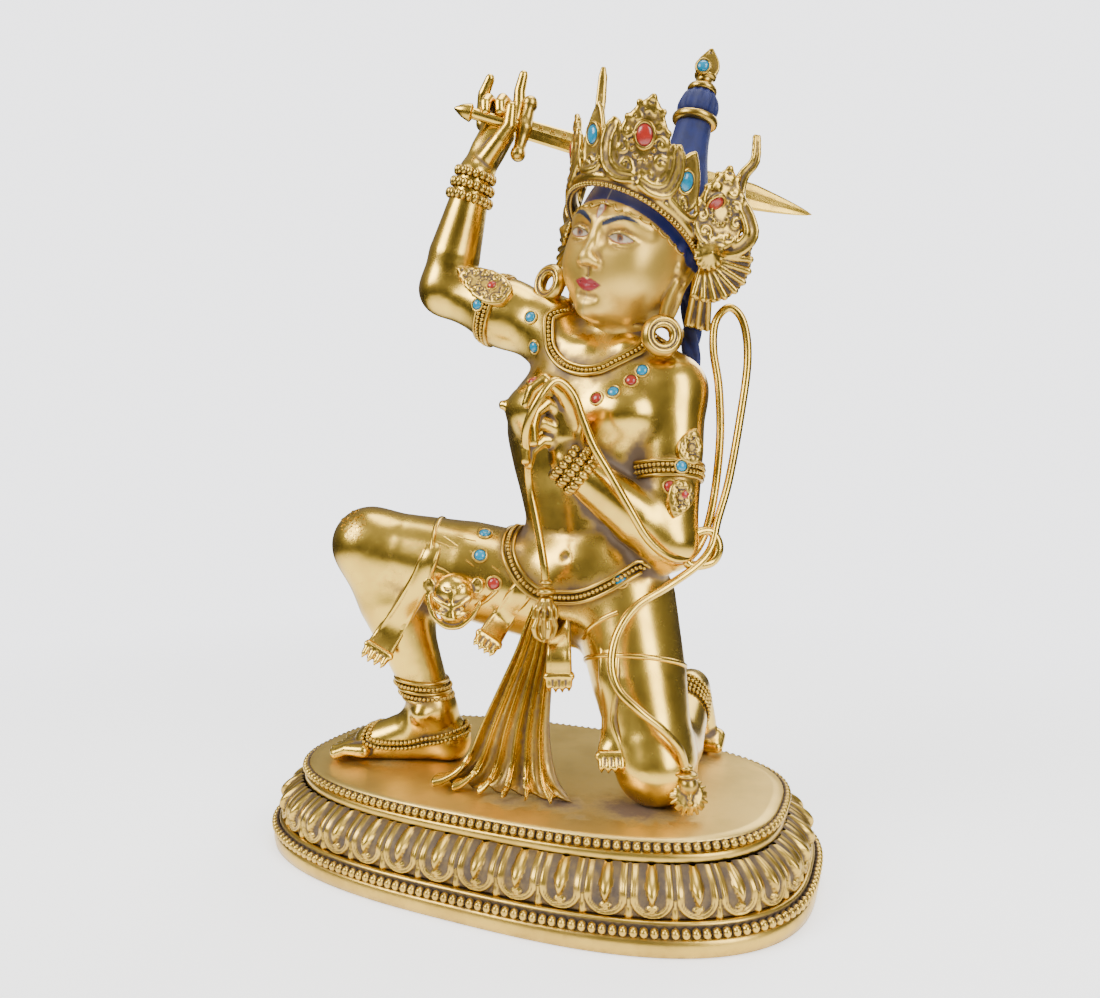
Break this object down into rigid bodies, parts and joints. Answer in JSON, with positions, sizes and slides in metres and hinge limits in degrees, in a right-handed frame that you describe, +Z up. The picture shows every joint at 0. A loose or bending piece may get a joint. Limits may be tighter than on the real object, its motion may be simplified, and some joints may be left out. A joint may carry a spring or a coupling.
{
  "type": "kneeling achala statue",
  "caption": "Gilt metal figurine of a kneeling two-armed protector with raised sword and noose, crowned, inlaid with stones, on an oval lotus base.",
  "frame": {"origin": "middle of the base's underside, on the ground", "axes": "the figure faces -Y, its own left is +X, and +Z is up"},
  "size_m": [0.273, 0.17, 0.3885],
  "materials": {
    "gilt_metal": "fire-gilt copper, polished on the high places, brown patina in the hollows",
    "hair_paint": "matte mineral blue paint over metal, on the hair",
    "face_paint": "matte cold gold paint over metal, on the face and neck, with painted features",
    "turquoise": "polished turquoise cabochon",
    "coral": "polished coral cabochon"
  },
  "bodies": {
    "root": {"lotus_base": "gilt_metal", "figure": "gilt_metal", "crown": "gilt_metal", "sword": "gilt_metal", "noose": "gilt_metal", "earring_left": "gilt_metal", "earring_right": "gilt_metal", "stone_collar_1": "coral", "stone_collar_2": "turquoise", "stone_collar_3": "coral", "stone_collar_4": "turquoise", "stone_collar_5": "turquoise", "stone_collar_6": "turquoise", "stone_collar_7": "coral", "stone_armlet_1": "turquoise", "stone_armlet_2": "coral", "stone_armlet_3": "turquoise", "stone_armlet_4": "coral", "stone_armlet_5": "coral", "stone_belt_1": "turquoise", "stone_belt_2": "coral", "stone_belt_3": "turquoise", "stone_belt_4": "turquoise", "stone_finial": "turquoise", "stone_crown_1": "coral", "stone_crown_2": "coral", "stone_crown_3": "turquoise", "stone_crown_4": "turquoise", "stone_crown_5": "coral", "stone_crown_6": "coral"}
  },
  "joints": []
}
